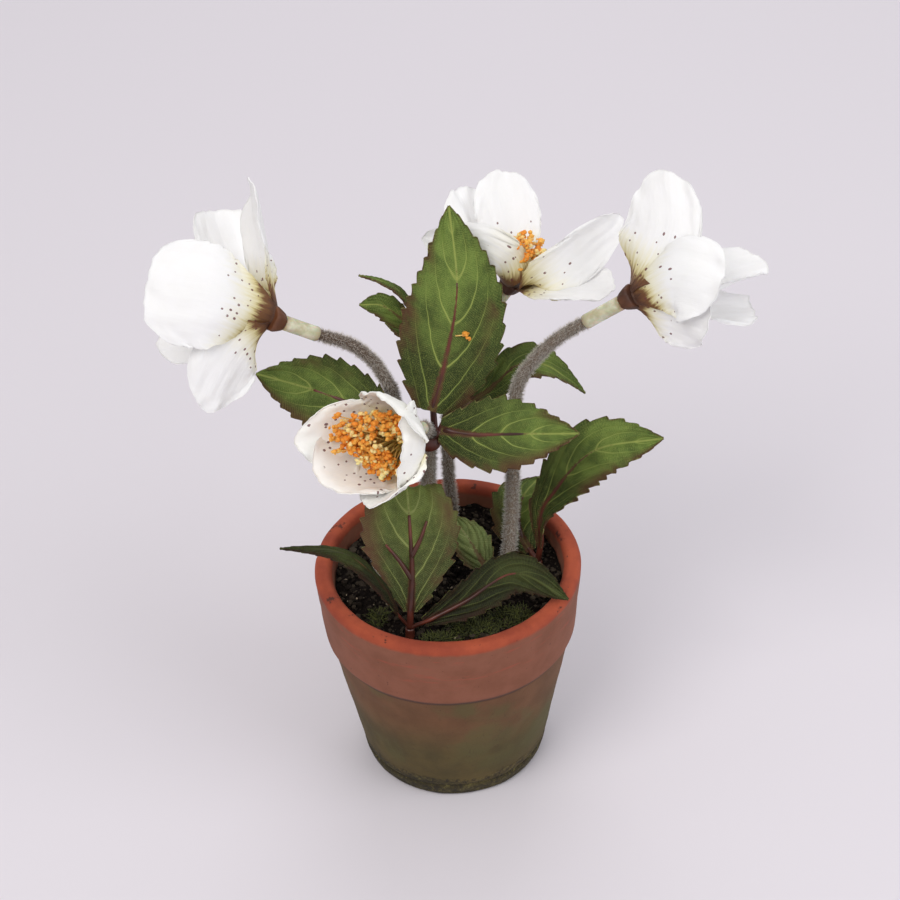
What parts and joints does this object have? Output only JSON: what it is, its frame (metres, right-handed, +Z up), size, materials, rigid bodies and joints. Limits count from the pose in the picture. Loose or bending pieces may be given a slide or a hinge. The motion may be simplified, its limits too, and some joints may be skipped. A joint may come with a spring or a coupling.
{
  "type": "potted christmas rose",
  "caption": "Artificial christmas rose in a small terracotta pot: nodding white blooms on flocked stems above toothed, dark green leaflets.",
  "frame": {"origin": "centre of the pot's flat base", "axes": "+Z up out of the pot, -Y towards the front leaf and the low, nodding bloom, +X to the right seen from the front"},
  "size_m": [0.197, 0.1197, 0.213],
  "materials": {
    "terracotta": "matte, weathered mauve and olive towards the foot, orange at the lip",
    "soil": "dark, rough crumbs",
    "flock": "short grey flock on wire",
    "clear_sleeve": "translucent, pale green white",
    "calyx": "dark brown, brushed",
    "petal": "white woven cloth, olive yellow and brown at the base, maroon spots",
    "stamen": "orange anthers on olive filaments",
    "leaf": "printed green cloth with pale veins and brown edges",
    "rib": "glossy red brown moulding"
  },
  "bodies": {
    "root": {"pot": "terracotta", "soil": "soil", "stem_left": "flock", "sleeve_left": "clear_sleeve", "calyx_left": "calyx", "petals_left": "petal", "stamens_left": "stamen", "stem_right": "flock", "sleeve_right": "clear_sleeve", "calyx_right": "calyx", "petals_right": "petal", "stamens_right": "stamen", "stem_back": "flock", "sleeve_back": "clear_sleeve", "calyx_back": "calyx", "petals_back": "petal", "stamens_back": "stamen", "stem_front": "flock", "sleeve_front": "clear_sleeve", "calyx_front": "calyx", "petals_front": "petal", "stamens_front": "stamen", "ribs_whorl": "rib", "whorl_upright": "leaf", "whorl_right": "leaf", "whorl_left": "leaf", "whorl_arching": "leaf", "ribs_front_leaf": "rib", "front_leaf_centre": "leaf", "front_leaf_left": "leaf", "front_leaf_right": "leaf", "ribs_right_leaf": "rib", "right_leaf_outer": "leaf", "right_leaf_inner": "leaf", "ribs_inner_leaf": "rib", "inner_leaf_blade": "leaf", "ribs_back_leaf": "rib", "back_leaf_upper": "leaf", "back_leaf_middle": "leaf", "back_leaf_lower": "leaf"}
  },
  "joints": []
}
